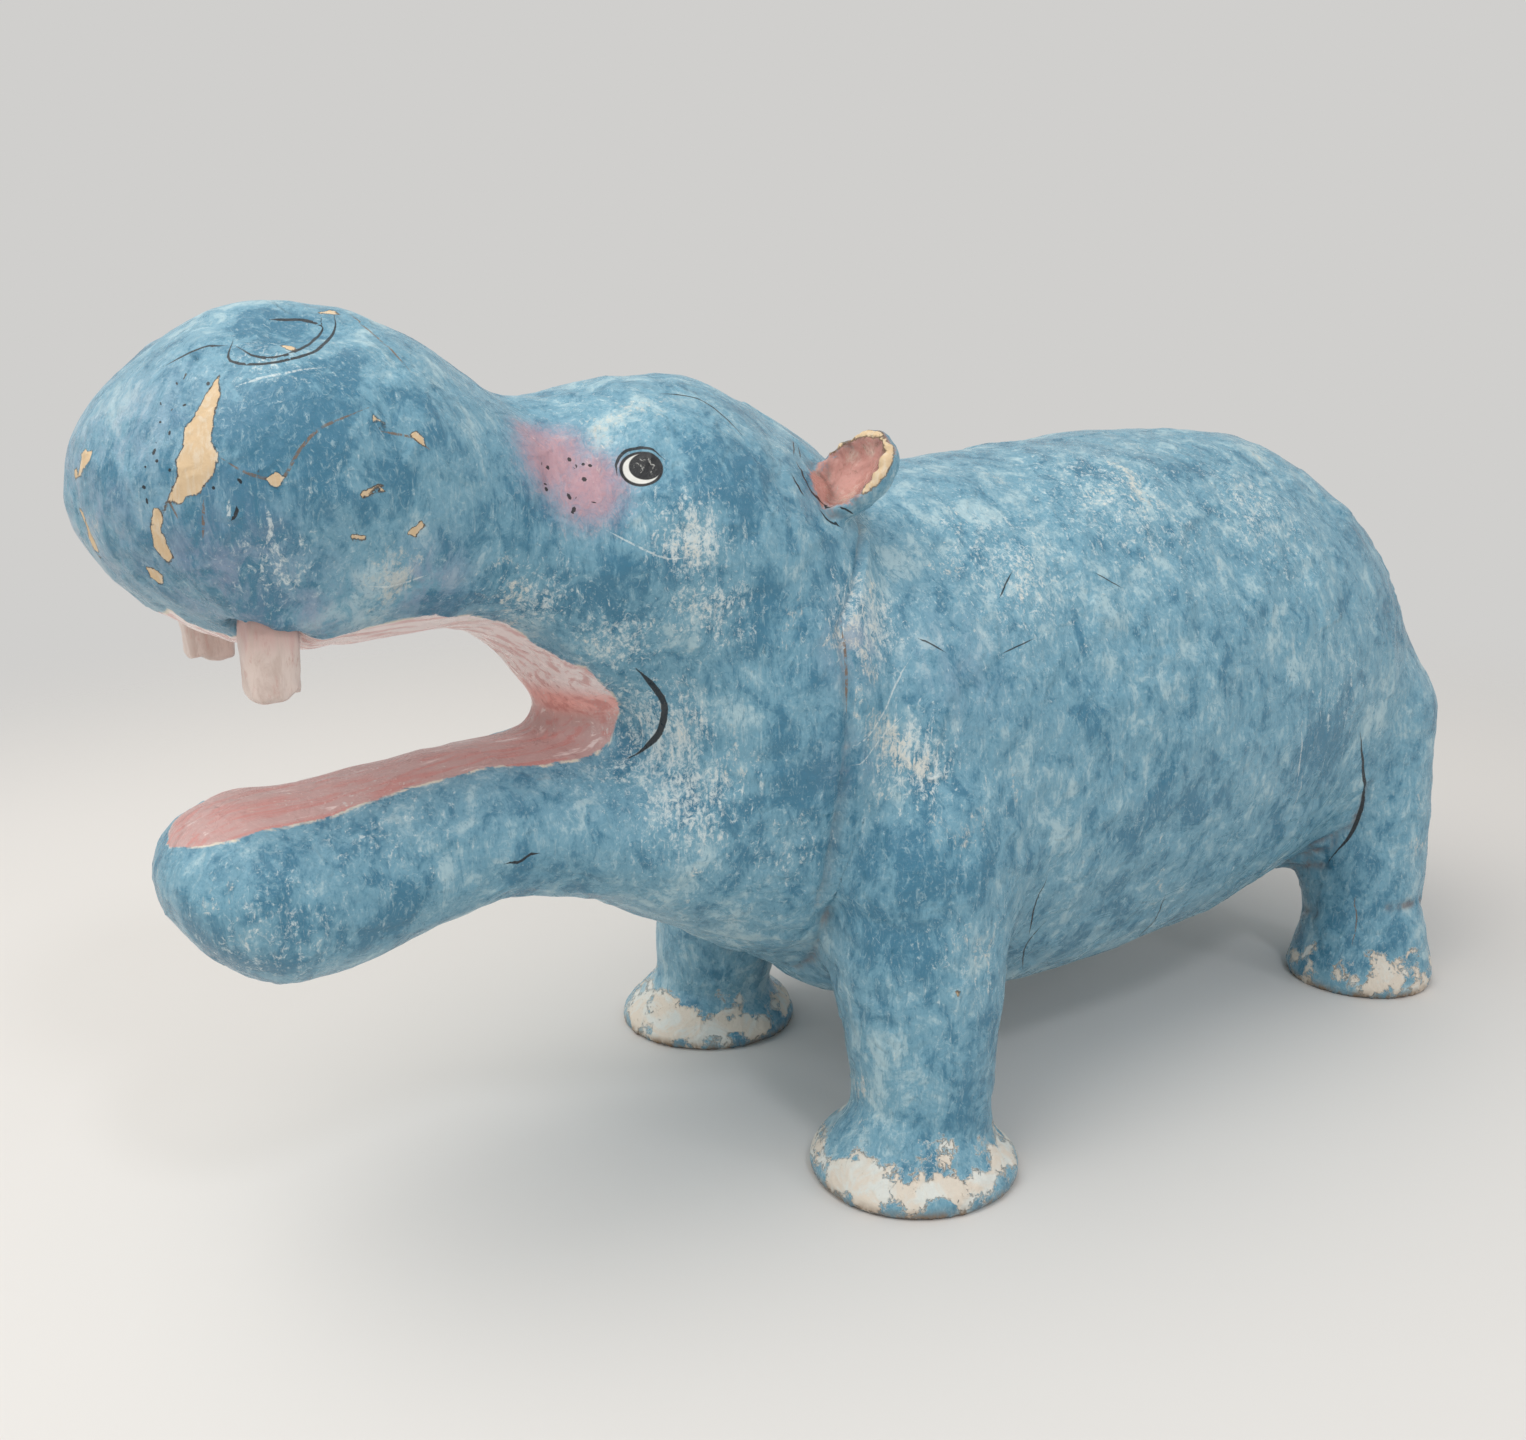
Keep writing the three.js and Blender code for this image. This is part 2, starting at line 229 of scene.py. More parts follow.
def normals_of(mesh):
    """All vertex normals of a mesh as an array."""
    flat = np.empty(len(mesh.vertices) * 3, np.float32)
    mesh.vertex_normals.foreach_get("vector", flat)
    return flat.reshape(-1, 3).astype(float)


def smooth_noise(points, size, octaves=2, shift=0.0):
    """Perlin noise from about -1 to 1 at every point, with features of that size."""
    offset = Vector((shift, shift * 1.7, shift * 0.6))
    return np.array([
        noise.fractal(Vector(p) / size + offset, 0.9, 2.1, octaves) for p in points
    ])


def step(value, low, high):
    """0 below low, 1 above high, and smooth between."""
    t = np.clip((value - low) / (high - low), 0, 1)
    return t * t * (3 - 2 * t)


# The folds of the solid, where one form is pasted against another: behind the head, round
# the ears, in the armpits and beside the tail.
build = bmesh.new()
build.from_mesh(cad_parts["body"].data)
bmesh.ops.remove_doubles(build, verts=build.verts, dist=1e-6)
fold_points = []
for edge in build.edges:
    inward = edge.is_manifold and edge.calc_face_angle_signed(0) < -FOLD_ANGLE
    if inward and edge.verts[0].co.z > 30 * MM and edge.verts[0].co.x > MOUTH_BACK:
        a, b = (v.co for v in edge.verts)
        fold_points += [a.lerp(b, t) for t in (0, 0.2, 0.4, 0.6, 0.8, 1)]
body_tree = BVHTree.FromBMesh(build)
build.free()
folds = KDTree(len(fold_points))
for n, point in enumerate(fold_points):
    folds.insert(point, n)
folds.balance()

# A plug of pasted paper fills each tooth's socket, flush with the gum round it.
plugs = []
for side in ("tooth_left", "tooth_right"):
    low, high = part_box(side)
    centre = (low + high) / 2
    ring = []
    for n in range(SOCKET["probes"]):
        a = 2 * math.pi * n / SOCKET["probes"]
        start = Vector((
            centre.x + SOCKET["out"] * math.cos(a),
            centre.y + SOCKET["out"] * math.sin(a),
            low.z - SOCKET["below"]))
        found = body_tree.ray_cast(start, Vector((0, 0, 1)), SOCKET["reach"])[0]
        if found:
            ring.append((found.x, found.y, 1, found.z))
    ring = np.array(ring)
    gum = np.linalg.lstsq(ring[:, :3], ring[:, 3], rcond=None)[0]
    corners = []
    for sx in (-1, 1):
        for sy in (-1, 1):
            for top in (0, 1):
                x = centre.x + sx * (high.x - low.x + SOCKET["wider"]) / 2
                y = centre.y + sy * (high.y - low.y + SOCKET["wider"]) / 2
                z = high.z + SOCKET["above"] if top else gum @ (x, y, 1) - SOCKET["sunk"]
                corners.append(Vector((x, y, z)))
    plugs.append(corners)

skin = refined(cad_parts["body"].data, "paper_skin", SKIN_VOXEL, plugs)
points = points_of(skin.data)
normals = normals_of(skin.data)
fold_gap = np.array([folds.find(p)[2] for p in points])
pasted = np.array([
    noise.cell_vector(Vector(noise.voronoi(Vector(p) / LAP["size"])[1][0]) * 7)[0]
    for p in points])
crease = np.array([
    noise.ridged_multi_fractal(Vector(p) / CREASE["size"], 1.0, 2.1, 3, 1.0, 2.0)
    for p in points])
crumpled = step(smooth_noise(points, 60 * MM, 2, 4.0), -0.1, 0.5)
height = SWELL["height"] * smooth_noise(points, SWELL["size"], 1, 7.0)
height += LUMP["height"] * smooth_noise(points, LUMP["size"], 2)
height += LAP["height"] * pasted
height += CREASE["height"] * (crease - 1.2) * (0.25 + 0.75 * crumpled)
# The trunk's paper laps over the back of the head in a crisp step; other folds are grooves.
neck_x = NECK["x"] + NECK["lean"] * np.clip(points[:, 2] - NECK["high"], 0, 1)
neck_gap = points[:, 0] - neck_x
at_neck = step(points[:, 2], NECK["low"] - 12 * MM, NECK["low"])
at_neck *= step(NECK["top"] - points[:, 2], 0, 14 * MM)
at_neck *= step(np.abs(points[:, 1] - SPINE_Y), NECK["inner"], NECK["outer"])
at_neck *= np.abs(neck_gap) < NECK["near"]
height -= FOLD_GROOVE["depth"] * np.exp(-(fold_gap / FOLD_GROOVE["width"]) ** 2) * (1 - at_neck)
height += NECK["fill"] * np.exp(-(fold_gap / NECK["fill_wide"]) ** 2) * at_neck
height -= FOLD_GROOVE["depth"] * np.exp(-(neck_gap / FOLD_GROOVE["width"] + 0.6) ** 2) * at_neck
lapped = step(neck_gap, -0.6 * MM, 1.4 * MM) * np.exp(-(neck_gap / NECK["step_wide"]) ** 2)
height += NECK["step"] * lapped * at_neck
height *= step(points[:, 2], 0.5 * MM, 6 * MM)
points += normals * height[:, None]
# The lip rolls down outside each tooth and hides its root.
out = np.abs(points[:, 1] - SPINE_Y)
roll = np.exp(-((points[:, 0] - LIP_ROLL["x"]) / LIP_ROLL["long"]) ** 2
              - ((out - LIP_ROLL["out"]) / LIP_ROLL["wide"]) ** 2)
roll *= step(-normals[:, 2], -0.1, 0.5) * (points[:, 2] > 0.19)
points[:, 2] -= LIP_ROLL["drop"] * roll
points[:, 2] = np.where(points[:, 2] < 0.9 * MM, 0.0, points[:, 2])
skin.data.vertices.foreach_set("co", points.astype(np.float32).ravel())
skin.data.update()
thinned = skin.modifiers.new("thinned", "DECIMATE")
thinned.ratio = SKIN_FACES / (2 * len(skin.data.polygons))
settle(skin)
skin.data.polygons.foreach_set("use_smooth", [True] * len(skin.data.polygons))

# ---------- Bare paper, chips and the painted areas ----------
# The paint has its own areas: a pink mouth, pink ears, a blush below the eye, lavender
# washes on the snout. Where it was knocked, it came off in flakes down to tan paper.
points = points_of(skin.data)
normals = normals_of(skin.data)
x, y, z = (points / MM).T
half = np.abs(y - SPINE_Y / MM)
mirrored = np.stack([x, half, z], 1)
gap = np.array([folds.find(p)[2] for p in points]) / MM


def keep(name, values, kind="FLOAT", domain="POINT"):
    """Stores an array on the skin as an attribute that its paint reads."""
    made = skin.data.attributes.new(name, kind, domain)
    field = "value" if kind == "FLOAT" else "vector"
    made.data.foreach_set(field, np.asarray(values, np.float32).ravel())


# The mouth's paint ends at the edge of the lips, in millimetres inside it.
jaw_tip = np.sqrt(np.clip(1 - np.clip((-262 - x) / 18, 0, 1) ** 2, 0, 1))
jaw_edge = (18.5 + 5 * step(x, -215, -150)) * jaw_tip
GUM_EDGE = [(-268, 14), (-258, 25), (-245, 33), (-230, 37), (-208, 38), (-186, 29), (-171, 25),
        (-155, 33), (-145, 30)]
gum_edge = np.interp(x, *np.array(GUM_EDGE, float).T)
lip_edge = jaw_edge + (gum_edge - jaw_edge) * step(z, 168, 188)
facing = np.where(z < 178, normals[:, 2] + 0.05, -normals[:, 2] - 0.15) * 30 + 60 * step(x, -172, -158)
front = np.where(z < 178, 99, x + 276)
keep("mouth", np.minimum.reduce([lip_edge - half, facing, front, z - 143, 236 - z, -136 - x]))
# Painted light and shade: how high each point of the mouth is, from its darker floor up to the palate, which
# is painted paler.
keep("palate", step(z, 168, 192))
# Painted shade: how strongly the paint is darkened along every fold, and more weakly along the step behind
# the head.
neck_line = x - NECK["x"] / MM - NECK["lean"] * np.clip(z - NECK["high"] / MM, 0, 99)
beside_neck = (np.abs(neck_line) < 40) & (z > NECK["low"] / MM - 8) & (z < 238) & (half > 34)
keep("fold", np.where(beside_neck, 0.4 * np.exp(-((neck_line + 0.8) / 1.4) ** 2), np.exp(-(gap / 2.0) ** 2)))

# Soft washes and worn places: [x, distance from the middle, height, radius, strength].
WASHES = {
    "dark": [
        (-238, 24, 299, 12, 1.4),
        (-246, 50, 274, 26, 1.0), (-262, 47, 246, 20, 0.7), (-232, 50, 252, 16, 0.6),
        (-282, 28, 244, 18, 0.5), (-190, 42, 235, 24, 0.7), (-150, 44, 228, 16, 0.7),
        (-118, 52, 262, 22, 0.6), (-104, 62, 215, 26, 0.6), (-96, 66, 160, 26, 0.8),
        (-272, 20, 128, 26, 0.8), (-225, 30, 136, 24, 0.6), (-60, 88, 128, 30, 1.0),
        (-40, 80, 60, 26, 0.5), (60, 90, 110, 40, 0.5), (150, 88, 110, 34, 0.7),
        (225, 80, 190, 40, 0.5), (222, 78, 60, 26, 0.4), (276, 40, 170, 30, 0.5),
    ],
    "lavender": [
        (-268, 40, 236, 22, 0.9), (-290, 8, 252, 26, 0.7), (-280, 22, 272, 18, 0.5),
        (-214, 44, 233, 12, 1.0), (-250, 44, 224, 16, 0.8), (-78, 70, 200, 12, 0.8),
        (-80, 70, 160, 10, 0.6), (-40, 84, 190, 20, 0.3),
    ],
    "scuff": [
        (-138, 44, 170, 24, 1.0), (-130, 50, 150, 24, 0.8), (-150, 44, 205, 16, 0.8),
        (-132, 58, 238, 16, 0.9), (-126, 60, 214, 18, 0.7), (-262, 30, 128, 24, 0.5),
        (-150, 20, 280, 26, 0.3), (-180, 46, 218, 18, 0.8), (-250, 38, 294, 16, 0.5),
        (-70, 66, 205, 20, 0.9), (-56, 76, 158, 18, 0.9), (0, 60, 215, 40, 0.6),
        (70, 50, 235, 50, 0.6), (140, 60, 225, 40, 0.6), (160, 92, 150, 30, 0.4),
        (-256, 48, 240, 14, 0.6), (-240, 50, 262, 10, 0.5), (-46, 92, 90, 24, 0.4),
        (-226, 24, 158, 30, 0.4), (-100, 70, 130, 20, 0.5),
    ],
    "blush": [(-168, 38, 262, 15, 1.0), (-160, 44, 254, 14, 1.0), (-172, 34, 268, 10, 0.8)],
}
for wash, places in WASHES.items():
    total = np.zeros(len(points))
    for *place, radius, strength in places:
        reach = np.linalg.norm(mirrored - place, axis=1) / radius
        total = np.maximum(total, strength * np.exp(-reach ** 2))
    keep(wash, total)

# The hollow of each ear is pink, and its torn rim shows the layers of paper.
EAR = {"x": -68.9, "out": 48, "z": 247, "hollow": (10.3, 8.2, 15.0)}
hollow = np.full(len(points), 9.0)
rim = np.full(len(points), 9.0)
for side in (-1, 1):
    rise = Vector((0.6, side * 0.42, 0.68)).normalized()
    wide = rise.cross(Vector((-0.78, side * 0.28, 0.56))).normalized()
    turn = np.array([wide, wide.cross(rise), rise])
    local = (points / MM - (EAR["x"], SPINE_Y / MM + side * EAR["out"], EAR["z"])) @ turn.T
    depth = np.linalg.norm((local - (0, 3, 9)) / EAR["hollow"], axis=1)
    near = np.linalg.norm(local - (0, 0, 8), axis=1) < 26
    inside = np.where(near & (local[:, 1] > -7), depth - 1, 9)
    hollow = np.minimum(hollow, inside)
    low_end = 5 * (1 - step(local[:, 2], 0, 9))
    rim = np.minimum(rim, np.where(near, np.hypot((depth - 1.12) * 9, local[:, 1] - 4) + low_end, 9))
keep("ear_hollow", hollow)
keep("ear_rim", rim)

# The eyes are painted flat: across and up from each eye's middle, in half sizes.
EYE = {"at": (-144, 49.6, 259), "half": (6.6, 5.6), "facing": (-0.38, 0.74, 0.55)}
look = Vector(EYE["facing"]).normalized()
up = (Vector((0, 0, 1)) - look * look.z).normalized()
back = look.cross(up)
from_eye = mirrored - EYE["at"]
eye = np.stack([from_eye @ back / EYE["half"][0], from_eye @ up / EYE["half"][1], np.zeros(len(x))], 1)
eye[:, 0] *= math.copysign(1, back.x)
eye[np.linalg.norm(from_eye, axis=1) > 16] = 9
keep("eye", eye, "FLOAT_VECTOR")

# Flakes knocked off the left side: where each is, which way it faces, and its outline in
# millimetres, right and up.
CHIPS = [
    ((-272, -38, 270), (-0.65, -0.68, 0.35), [
        (3, 20), (4.5, 15), (4, 8), (4.5, 2), (6.8, -1), (5.4, -6), (2.5, -10), (-2, -12),
        (-6.5, -14.5), (-7.5, -12), (-3.5, -7), (-4.5, -4), (-2.5, 1), (-3, 6), (-0.5, 10), (1, 15)]),
    ((-282, -31, 250), (-0.8, -0.58, -0.14), [(0.5, 6.0), (2.6, 4.5), (1.2, 0), (2, -8), (-0.5, -10),
        (-2.6, -5), (-1.5, 1)]),
    ((-282, -23, 236), (-0.78, -0.4, -0.48), [(-2, 2.5), (2, 1), (0.5, -3), (-1.5, -1)]),
    ((-292, -3, 265), (-0.97, -0.15, 0.2), [(5.5, 4.5), (5, 1), (1, -2.5), (-6, -5), (-5, -2),
        (1, 0), (-1, 3)]),
    ((-293, -2, 246), (-0.95, -0.1, -0.25), [(-3, 7), (-1, 6), (2, -3), (1, -7), (-2, -2)]),
    ((-257, -51, 264), (-0.38, -0.92, 0.08), [(-4, 2.5), (0, 0.6), (4, 1.5), (0.5, -4)]),
    ((-227, -50, 276), (0.13, -0.89, 0.44), [(-0.5, 5), (0.8, 1), (2, -3), (-2, -2)]),
    ((-217, -50, 271), (0.22, -0.94, 0.27), [(-2.5, 2), (1, 2), (2, -2.5), (0, -1)]),
    ((-220, -51, 248), (0.07, -0.97, -0.22), [(-4.5, 3.5), (-1, 0.6), (4, 0.6), (2, -3), (-2, -2)]),
    ((-236, -52, 246), (0.02, -0.94, -0.34), [(-3, 2), (2, 0.6), (2, -2), (-1, -0.6)]),
    ((-231, -54, 259), (0.09, -1.0, 0.0), [(-5, -0.4), (5, 2), (4, 0), (-4, -2)]),
    ((-244, -30, 296), (0.0, -0.3, 0.95), [(-2, 5), (2, -1), (1, -4), (-1, -1)]),
    ((-224, -9, 303), (0.07, -0.53, 0.84), [(-3, 1), (2, 1.6), (2, -1), (-3, -1.4)]),
    ((-269, -26, 288), (-0.55, -0.44, 0.7), [(-1.4, 1), (1.6, 0.4), (0, -1.4)]),
    ((-264, -30, 290), (-0.54, -0.46, 0.71), [(-1.4, 0.8), (1.8, 0.4), (0, -1)]),
    ((-50, -95, 77), (-0.4, -0.9, 0.1), [(-2, 1.4), (1.6, 1), (0.4, -2)]),
]


def outline_gap(flat, outline):
    """Distance of each flat point to a closed outline, below 0 inside it."""
    corners = np.array(outline, float)
    best = np.full(len(flat), 1e9)
    inside = np.zeros(len(flat), bool)
    for a, b in zip(corners, np.roll(corners, -1, 0)):
        along = np.clip((flat - a) @ (b - a) / ((b - a) @ (b - a)), 0, 1)
        best = np.minimum(best, np.linalg.norm(flat - a - along[:, None] * (b - a), axis=1))
        spans = (a[1] > flat[:, 1]) != (b[1] > flat[:, 1])
        crossing = (b[0] - a[0]) * (flat[:, 1] - a[1]) / np.where(b[1] == a[1], 1, b[1] - a[1]) + a[0]
        inside ^= spans & (flat[:, 0] < crossing)
    return np.where(inside, -best, best)


chip = np.full(len(points), 20.0)
for place, out, outline in CHIPS:
    out = Vector(out).normalized()
    rise = (Vector((0, 0, 1)) - out * out.z).normalized()
    right = rise.cross(out)
    from_chip = points / MM - place
    near = (np.linalg.norm(from_chip, axis=1) < 24) & (normals @ out > 0.2)
    flat = np.stack([from_chip[near] @ right, from_chip[near] @ rise], 1)
    chip[near] = np.minimum(chip[near], outline_gap(flat, outline))
keep("chip", chip)

# The feet have lost much of their paint, most of it above the edge of the sole.
flaked = 0.75 * smooth_noise(points, 11 * MM, 3, 9.0) - 0.35 * smooth_noise(points, 30 * MM, 1, 2.0)
bare = flaked + 0.42 - np.abs(z - 10) / 17
bare[z > 60] = -3
keep("bare", bare)
keep("sole", 1 - step(z, 0.8, 5.5))


# ---------- Brush lines, freckles and cracks ----------
# The painter's lines in black, long hairs caught under the varnish, and cracks and pale
# scratches in it. Each is a run of points on the skin, with its half width in millimetres.
BRUSH, HAIR, CRACK, SCRATCH = 1, 2, 3, 4
BOTH_SIDES = [
    (BRUSH, 1.15, [(-142, -37, 194), (-135, -36, 187), (-131, -36, 180), (-131, -33, 171),
        (-134, -30, 166), (-139, -26, 161)]),
    (BRUSH, 0.5, [(-187, -90, 134), (-196, -85, 116)]),
    (BRUSH, 0.42, [(-124, -25, 279), (-114, -27, 278), (-108, -33, 274), (-104, -42, 267)]),
    (BRUSH, 0.3, [(-72, -26, 262), (-80, -38, 259)]),
    (BRUSH, 0.28, [(-71, -29, 261), (-76, -37, 258)]),
    (BRUSH, 0.5, [(-89, -48, 254), (-88, -51, 250), (-86, -53, 247)]),
    (BRUSH, 0.6, [(-81, -41, 257), (-82, -46, 252), (-79, -50, 248), (-74, -51, 246)]),
    (BRUSH, 0.5, [(-79, -53, 243), (-76, -54, 240), (-70, -54, 237)]),
    (BRUSH, 0.3, [(-74, -54, 243), (-70, -55, 240), (-67, -54, 239)]),
    (BRUSH, 0.5, [(-256, -24, 297), (-259, -31, 292), (-251, -37, 292), (-239, -35, 295),
        (-227, -20, 299), (-223, -10, 303)]),
    (BRUSH, 0.5, [(-256, -27, 296), (-253, -34, 294), (-244, -35, 295), (-231, -20, 298),
        (-228, -13, 301)]),
    (BRUSH, 0.7, [(-242, -12, 302), (-234, -12, 302), (-230, -15, 300), (-229, -17, 299)]),
    (BRUSH, 0.35, [(-258, -25, 296), (-265, -21, 294), (-272, -17, 290)]),
    (BRUSH, 0.9, [(190, -89, 128), (199, -84, 112), (207, -80, 98), (210, -78, 88), (209, -75, 75),
        (206, -67, 60)]),
]
LEFT_SIDE = [
    (HAIR, 0.3, [(-11, -67, 208), (-1, -62, 215)]),
    (HAIR, 0.25, [(-18, -76, 190), (-2, -75, 193)]),
    (HAIR, 0.25, [(36, -68, 212), (47, -71, 205)]),
    (HAIR, 0.3, [(-50, -68, 198), (-42, -73, 193)]),
    (HAIR, 0.35, [(3, -84, 104), (2, -80, 90), (8, -70, 76)]),
    (HAIR, 0.3, [(12, -74, 82), (10, -66, 70), (20, -56, 54)]),
    (HAIR, 0.3, [(79, -76, 78), (84, -66, 64), (86, -54, 52)]),
    (CRACK, 0.42, [(-268, -43, 269), (-263, -48, 265), (-257, -51, 263), (-254, -52, 264),
        (-250, -52, 270), (-244, -51, 275), (-236, -50, 278), (-229, -48, 280)]),
    (CRACK, 0.35, [(-227, -51, 274), (-219, -51, 272), (-214, -50, 268)]),
    (CRACK, 0.35, [(-218, -9, 303), (-216, -22, 298), (-211, -36, 289)]),
    (CRACK, 0.3, [(-281, -36, 258), (-279, -38, 253)]),
    (CRACK, 0.4, [(-273, -43, 258), (-274, -42, 248)]),
    (CRACK, 0.45, [(-82, -66, 208), (-82, -69, 195), (-83, -71, 178)]),
    (CRACK, 0.3, [(200, -86, 48), (203, -87, 36), (202, -86, 26)]),
    (SCRATCH, 0.4, [(-260, -38, 286), (-250, -41, 289), (-237, -40, 291)]),
    (SCRATCH, 0.5, [(-267, -46, 258), (-268, -46, 250)]),
    (SCRATCH, 0.6, [(-259, -49, 256), (-258, -49, 250), (-260, -48, 245)]),
    (SCRATCH, 0.35, [(-80, -71, 166), (-66, -68, 178), (-54, -69, 192)]),
    (SCRATCH, 0.3, [(-79, -70, 160), (-70, -69, 166), (-60, -71, 173)]),
    (SCRATCH, 0.4, [(136, -92, 142), (142, -89, 116)]),
    (SCRATCH, 0.35, [(144, -91, 122), (147, -86, 100)]),
    (SCRATCH, 0.3, [(-157, -47, 241), (-149, -51, 236), (-141, -55, 232), (-134, -57, 232)]),
    (SCRATCH, 0.3, [(-136, -57, 233), (-129, -58, 238), (-130, -58, 241), (-137, -56, 243)]),
    (SCRATCH, 0.3, [(-71, -57, 226), (-78, -64, 214), (-83, -68, 198)]),
    (SCRATCH, 0.3, [(-232, -46, 232), (-224, -46, 231), (-214, -46, 233)]),
]
# The upper lid is a second line close over the eye.
EYE_LID = [math.radians(a) for a in (195, 165, 130, 95, 60, 25)]
BOTH_SIDES.append((BRUSH, 0.5, [
    tuple(Vector((EYE["at"][0], SPINE_Y / MM - EYE["at"][1], EYE["at"][2]))
          + Vector((back.x, -back.y, back.z)) * EYE["half"][0] * 1.2 * math.cos(a)
          + Vector((up.x, -up.y, up.z)) * EYE["half"][1] * 1.24 * math.sin(a))
    for a in EYE_LID]))
# Freckles: where each group is, how far it spreads back and up, how many, and their size.
FRECKLES = [
    ((-272, -32, 274), 17, 22, 26, 0.45),
    ((-166, -39, 256), 10, 11, 14, 0.55),
]
surface = BVHTree.FromPolygons(
    [Vector(p) for p in points], [tuple(f.vertices) for f in skin.data.polygons], epsilon=0)
corner_count = len(skin.data.loops)
corner_vertex = np.empty(corner_count, np.int32)
skin.data.loops.foreach_get("vertex_index", corner_vertex)
corners_a_face = [f.loop_total for f in skin.data.polygons]
face_of_corner = np.repeat(np.arange(len(skin.data.polygons)), corners_a_face)
face_middle = np.empty(len(skin.data.polygons) * 3, np.float32)
skin.data.polygons.foreach_get("center", face_middle)
face_middle = face_middle.reshape(-1, 3) / MM
line_gap = np.full(len(face_middle), 1e9)
line_field = np.zeros((corner_count, 3))
first_corner = np.searchsorted(face_of_corner, np.arange(len(face_middle) + 1))
LINE_STEP = 0.8
line_seeds = np.random.default_rng(11)


def lay_line(kind, half_width, run):
    """Gives the corners round a line their place along it (0 to 1) and across it (in half widths)."""
    run = [np.array(p, float) for p in run]
    ends = [2 * run[0] - run[1]] + run + [2 * run[-1] - run[-2]]
    path = []
    for a, b, c, d in zip(ends, ends[1:], ends[2:], ends[3:]):
        count = max(2, int(np.linalg.norm(c - b) / LINE_STEP))
        for n in range(count + (c is run[-1])):
            t = n / count
            path.append(0.5 * (2 * b + (c - a) * t + (2 * a - 5 * b + 4 * c - d) * t ** 2
                               + (3 * b - a - 3 * c + d) * t ** 3))
    found = [surface.find_nearest(Vector(p * MM)) for p in path]
    path = np.array([f[0] for f in found]) / MM
    out = np.array([f[1] for f in found])
    heading = np.gradient(path, axis=0)
    heading /= np.linalg.norm(heading, axis=1)[:, None]
    side = np.cross(out, heading)
    side /= np.linalg.norm(side, axis=1)[:, None]
    run_length = np.concatenate([[0], np.cumsum(np.linalg.norm(np.diff(path, axis=0), axis=1))])
    reach = half_width + 4
    boxed = np.where(((face_middle > path.min(0) - reach) & (face_middle < path.max(0) + reach)).all(1))[0]
    if not len(boxed):
        return
    apart = np.linalg.norm(face_middle[boxed][:, None] - path[None], axis=2).min(1)
    chosen = boxed[(apart < reach) & (apart < line_gap[boxed])]
    line_gap[chosen] = apart[(apart < reach) & (apart < line_gap[boxed])]
    for face in chosen:
        for corner in range(first_corner[face], first_corner[face + 1]):
            here = points[corner_vertex[corner]] / MM
            n = np.linalg.norm(path - here, axis=1).argmin()
            along = run_length[n] + (here - path[n]) @ heading[n]
            line_field[corner] = (along / run_length[-1], (here - path[n]) @ side[n] / half_width, kind)


def on_side(run, side):
    """A run of points of the left side (side 1), or its mirror image on the right (side -1)."""
    return [(px, SPINE_Y / MM + side * (py - SPINE_Y / MM), pz) for px, py, pz in run]


for side in (1, -1):
    for kind, half_width, run in BOTH_SIDES + (LEFT_SIDE if side == 1 else []):
        lay_line(kind, half_width, on_side(run, side))
    for (px, py, pz), spread_back, spread_up, count, size in FRECKLES:
        for _ in range(count):
            spot = line_seeds.uniform(-1, 1, 2)
            dash = line_seeds.uniform(0.4, 1.1)
            lean = line_seeds.uniform(-0.5, 0.5)
            middle_of = np.array([px + spread_back * spot[0], py, pz + spread_up * spot[1]])
            end = np.array([lean, 0, 1]) * dash
            run = [middle_of - end, middle_of + end]
            lay_line(BRUSH, size * line_seeds.uniform(0.7, 1.3), on_side(run, side))
keep("line", line_field, "FLOAT_VECTOR", "CORNER")


# ---------- The skin of pasted paper: its finish ----------
# Thin blue poster paint brushed over white paper and varnished by hand. It gives the eye a
# mottled blue of dabs and worn fibres, under a shine that breaks up on every wrinkle.
PAINT = {
    "DEEP": "#407c98", "MID": "#74a5ba", "PALE": "#adcbd4", "WORN": "#e2eae8", "CREAM": "#e6dccb",
    "LAVENDER": "#8e95b0", "BLUSH": "#c9959b", "MOUTH": "#c9a5a1", "PALATE": "#fff0ec",
    "FLESH": "#ffbfb5", "MOUTH_DEEP": "#cf827b", "EAR": "#c58f85", "PAPER": "#dcc09a",
    "UNDERCOAT": "#e4d9ca", "EDGE": "#7a6048", "BLACK": "#14171c", "WHITE": "#e6e6e0",
    "GRIME": "#6b5654", "DIRT": "#8a6f52",
}
PAINT = {name: linear(sheet) for name, sheet in PAINT.items()}
paint, tree, shader = finish_material("varnished_paint_on_paper")
place = node(tree, "ShaderNodeTexCoord").outputs["Object"]
upright = node(tree, "ShaderNodeMapping", {"Vector": place, "Scale": (1, 1, 0.42)}).outputs[0]
leaning = node(tree, "ShaderNodeMapping", {"Vector": place, "Scale": (0.8, 0.8, 0.55)}).outputs[0]
streaked = node(tree, "ShaderNodeMapping", {
    "Vector": place, "Rotation": (0, 0.35, 0), "Scale": (1, 1, 0.16)}).outputs[0]
lengthwise = node(tree, "ShaderNodeMapping", {"Vector": place, "Scale": (0.1, 1, 1)}).outputs[0]


